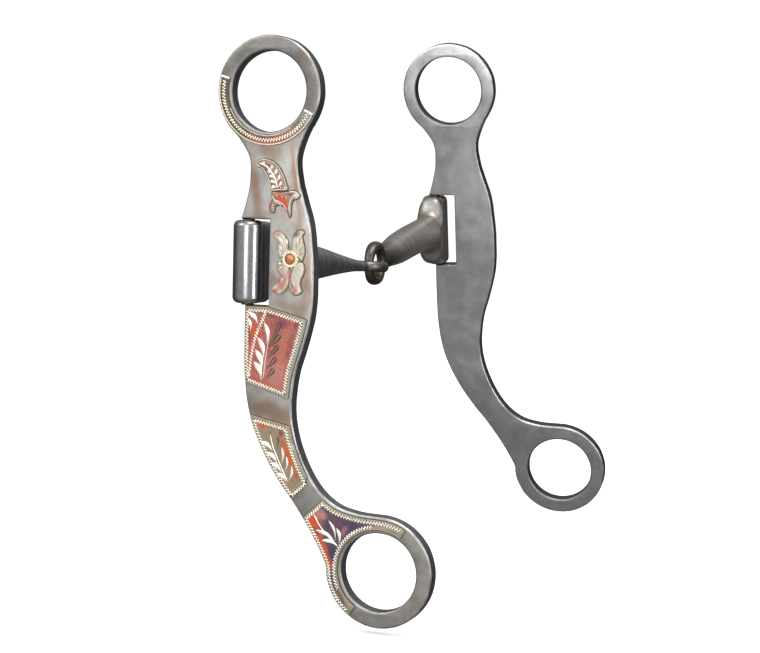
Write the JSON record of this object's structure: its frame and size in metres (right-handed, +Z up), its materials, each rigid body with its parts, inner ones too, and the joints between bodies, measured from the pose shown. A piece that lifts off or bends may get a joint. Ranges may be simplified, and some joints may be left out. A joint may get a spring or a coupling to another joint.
{
  "type": "curb bit",
  "caption": "Loose-jawed curb bit: two swept steel cheeks with headstall and rein rings, hinged to a jointed mouthpiece, with engraved silver and copper overlays.",
  "frame": {"origin": "centre of the left cheek's headstall ring, in the plate's mid-plane", "axes": "+X towards the horse's rear, the way the shanks sweep; +Y across the mouth from the left cheek to the right one; +Z up along the left hinge post"},
  "size_m": [0.0867, 0.1613, 0.1814],
  "materials": {
    "cheek_steel": "browned satin steel with brightened edges",
    "mouth_iron": "dark satin sweet iron, rubbed bright on the high spots",
    "engraved_silver": "hand-engraved silver with dark cut lines",
    "engraved_copper": "hand-engraved copper with heat colours"
  },
  "bodies": {
    "left_cheek": {"left_cheek": "cheek_steel", "left_hinge_post": "cheek_steel", "left_ring_band": "engraved_silver", "left_leaf": "engraved_silver", "left_leaf_base": "engraved_copper", "left_flower": "engraved_silver", "left_upper_panel": "engraved_copper", "left_lower_panel": "engraved_copper", "left_fork_panel": "engraved_copper", "left_bezel": "engraved_silver", "left_bead": "engraved_copper"},
    "left_canon": {"left_canon": "mouth_iron"},
    "right_canon": {"right_canon": "mouth_iron"},
    "right_cheek": {"right_cheek": "cheek_steel", "right_hinge_post": "cheek_steel", "right_ring_band": "engraved_silver", "right_leaf": "engraved_silver", "right_leaf_base": "engraved_copper", "right_flower": "engraved_silver", "right_upper_panel": "engraved_copper", "right_lower_panel": "engraved_copper", "right_fork_panel": "engraved_copper", "right_bezel": "engraved_silver", "right_bead": "engraved_copper"}
  },
  "joints": [
    {"name": "left_swivel", "type": "hinge", "parent": "left_cheek", "child": "left_canon", "pos_m": [-0.00664, 0, -0.05104], "axis": [0, 0, 1], "range_deg": [-22, 70]},
    {"name": "mouth_fold", "type": "hinge", "parent": "left_canon", "child": "right_canon", "pos_m": [0.00886, 0.06127, -0.05467], "axis": [0.0018, -0.1809, 0.9835], "range_deg": [-75, 45]},
    {"name": "right_swivel", "type": "hinge", "parent": "right_canon", "child": "right_cheek", "pos_m": [0.00816, 0.13069, -0.04391], "axis": [0.0018, -0.1809, 0.9835], "range_deg": [-38, 70]}
  ]
}
